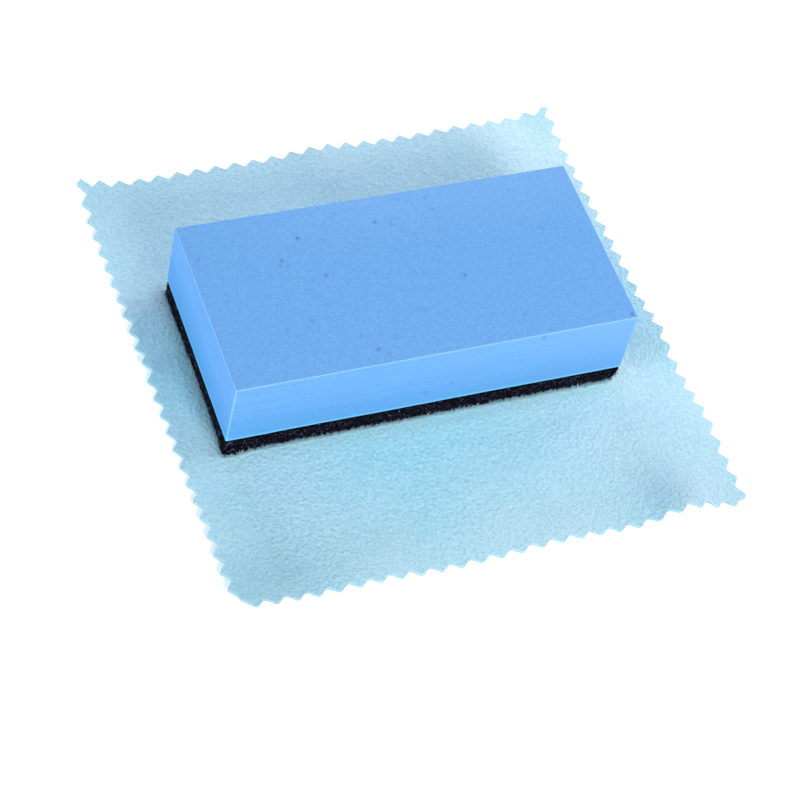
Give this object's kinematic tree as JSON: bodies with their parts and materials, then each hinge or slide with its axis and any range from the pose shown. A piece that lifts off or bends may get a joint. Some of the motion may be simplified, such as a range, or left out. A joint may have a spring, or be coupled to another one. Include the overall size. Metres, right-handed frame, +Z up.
{
  "type": "coating applicator block on a cloth",
  "caption": "Two-layer applicator block, light foam over dark felt, lying loose on a square suede cloth with zigzag-cut edges.",
  "frame": {"origin": "on the surface the cloth lies on, under the middle of the cloth", "axes": "+Z up, +X along the block's long edges to its right end, +Y away from the block's front face"},
  "size_m": [0.105, 0.1038, 0.0206],
  "materials": {
    "suede": "matte",
    "felt": "matte",
    "adhesive": "matte",
    "foam": "matte"
  },
  "bodies": {
    "cloth": {"suede_cloth": "suede"},
    "applicator": {"felt_pad": "felt", "adhesive_film": "adhesive", "foam_block": "foam"}
  },
  "joints": [
    {"name": "applicator_lift", "type": "slide", "parent": "cloth", "child": "applicator", "axis": [0, 0, 1], "range_m": [0, 0.06]}
  ]
}
